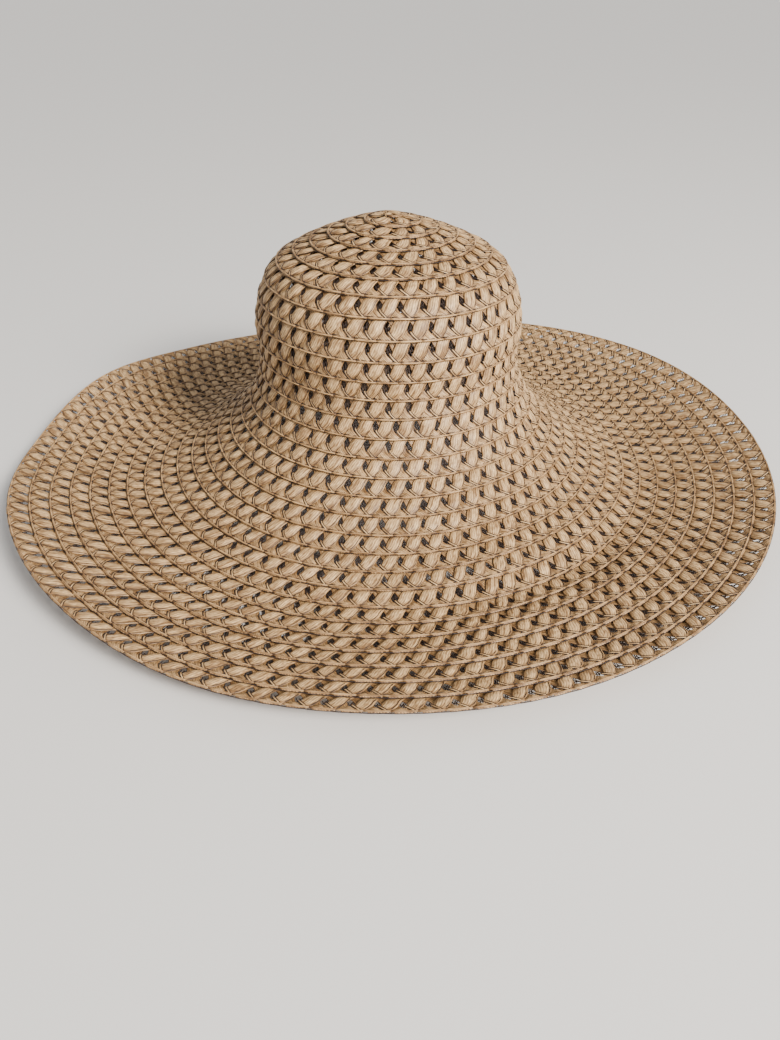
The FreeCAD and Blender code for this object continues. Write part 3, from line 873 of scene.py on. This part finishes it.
# near black: the colour of dark thread, and painted shadow where the pair, rim and edge threads stand for
# shadow gaps
DARK_THREAD_AND_SHADOW = thread_material("dark_thread_and_shadow", (0.016, 0.008, 0.006), (0.045, 0.025, 0.018), 0.6)
TAN_THREAD = thread_material("tan_thread", (0.30, 0.21, 0.13), (0.46, 0.35, 0.24), 0.6)
GROSGRAIN = cloth_material(
    "grosgrain", (0.20, 0.13, 0.08), (0.34, 0.235, 0.15), across=2.2, along=0.5, roughness=0.55, sheen=0.3
)
LABEL_CLOTH = cloth_material(
    "label_cloth", (0.62, 0.56, 0.47), (0.80, 0.75, 0.66), across=3.0, along=9.0, roughness=0.45, sheen=0.2
)

# ---- the hat ----------------------------------------------------------------------------


def piece(pile, name, material, slot_name, *nodes):
    """One piece of the hat, which rides the one body and replaces these CAD nodes."""
    ob = bpy.data.objects.new(name, pile.mesh(name))
    bpy.context.scene.collection.objects.link(ob)
    ob.data.materials.append(material)
    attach(ob, "root")
    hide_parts(*nodes)
    return ob


def make_braid():
    """Each turn of the braid as a piece of straw and a piece of dark threads, which are dark partly as
    painted shadow.
    """
    chance = make_chance()
    all_cells = np.arange(0, CELLS - 1)
    turns = np.maximum(np.floor(turn_of(all_cells + 0.5)).astype(int), 1)
    for turn in range(1, LAST_TURN + 1):
        cells = all_cells[turns == turn]
        node = "braid_turn_01_tip" if turn == 1 else "braid_turn_%02d" % turn
        straw = Pile()
        braid_ribbons(straw, cells, chance)
        straw_strands(straw, cells, chance)
        selvedge(straw, cells, chance)
        piece(straw, node + "_straw", STRAW, "straw_braid", node)
        dark = Pile()
        for threads in (pair_threads_and_shadows, rim_threads_and_shadow, edge_shadow_thread, hole_threads):
            threads(dark, cells, chance)
        piece(dark, node + "_dark_threads", DARK_THREAD_AND_SHADOW, "seam_thread", node)


def make_seams():
    """The stitches between the turns, as two pieces: crown and brim."""
    for part, first, last in (("crown", 1, CROWN_TURNS), ("brim", CROWN_TURNS + 1, LAST_TURN - 1)):
        stitches = Pile()
        seam_stitches(stitches, first, last)
        piece(stitches, part + "_seam_stitches", DARK_THREAD_AND_SHADOW, "seam_thread", part + "_seam_thread")


def make_band():
    """The sweatband and the label, which are sheets, with the stitches of each."""
    band, stitches, label, label_thread = Pile(), Pile(), Pile(), Pile()
    band_shell(band)
    band_stitches(stitches)
    label_shell(label)
    label_stitches(label_thread)
    cloth = piece(band, "sweatband_grosgrain", GROSGRAIN, "grosgrain", "sweatband")
    sewn = piece(stitches, "sweatband_stitches", TAN_THREAD, "sewing_thread", "sweatband_stitching")
    tag = piece(label, "care_label_cloth", LABEL_CLOTH, "label_cloth", "care_label")
    tacks = piece(label_thread, "care_label_stitches", TAN_THREAD, "sewing_thread", "sweatband_stitching")


# ---- floor, light and camera, in metres -------------------------------------------------

FLOOR_HALF = 40.0
FLOOR_COLOUR = (0.70, 0.69, 0.67, 1)
HAT_MIDDLE = (0.0, 0.0, 0.08)
WARM, COOL = (1.0, 0.945, 0.88), (0.98, 0.98, 1.0)
SKY_COLOUR, SKY_STRENGTH = (0.92, 0.92, 0.93, 1), 0.6
CAMERA_PLACE = (0.001, -0.560, 0.3255)
SENSOR, LENS = 36, 27.55   # millimetres
LOOK_DOWN = 34.71          # degrees under the horizon


def make_floor():
    """A plain pale floor."""
    corners = [(x * FLOOR_HALF, y * FLOOR_HALF, 0.0) for x, y in ((-1, -1), (1, -1), (1, 1), (-1, 1))]
    mesh = bpy.data.meshes.new("floor")
    mesh.from_pydata(corners, [], [(0, 1, 2, 3)])
    ob = bpy.data.objects.new("floor", mesh)
    bpy.context.scene.collection.objects.link(ob)
    material, _, _, shader = new_material("floor")
    shader.inputs["Base Color"].default_value = FLOOR_COLOUR
    shader.inputs["Roughness"].default_value = 0.8
    mesh.materials.append(material)


def lamp(name, kind, location, power, colour):
    """A light that looks at the hat. Its size is set on the light that this returns."""
    light = bpy.data.lights.new(name, kind)
    light.energy = power
    light.color = colour
    ob = bpy.data.objects.new(name, light)
    ob.location = location
    ob.rotation_euler = (Vector(HAT_MIDDLE) - Vector(location)).to_track_quat("-Z", "Y").to_euler()
    bpy.context.scene.collection.objects.link(ob)
    return light


def make_lights():
    """Warm light from the right front, a weak cool one from the left, and an even sky."""
    key = lamp("key", "SUN", (1.15, -1.2, 1.25), 4.0, WARM)
    key.angle = math.radians(16)
    near = lamp("near", "POINT", (1.0, -1.1, 1.05), 150, WARM)
    near.shadow_soft_size = 0.3
    fill = lamp("fill", "AREA", (-1.3, -1.3, 1.2), 4, COOL)
    fill.shape = "DISK"
    fill.size = 1.6
    world = bpy.data.worlds.new("studio")
    world.use_nodes = True
    sky = world.node_tree.nodes["Background"]
    sky.inputs["Color"].default_value = SKY_COLOUR
    sky.inputs["Strength"].default_value = SKY_STRENGTH
    bpy.context.scene.world = world


def make_camera():
    """The photograph's camera, in front of the hat and above it."""
    camera = bpy.data.cameras.new("camera")
    camera.sensor_width = SENSOR
    camera.lens = LENS
    camera.clip_start = 0.01
    ob = bpy.data.objects.new("camera", camera)
    ob.location = CAMERA_PLACE
    ob.rotation_euler = (math.radians(90 - LOOK_DOWN), 0, 0)
    bpy.context.scene.collection.objects.link(ob)
    bpy.context.scene.camera = ob


make_braid()
make_seams()
make_band()
make_floor()
make_lights()
make_camera()
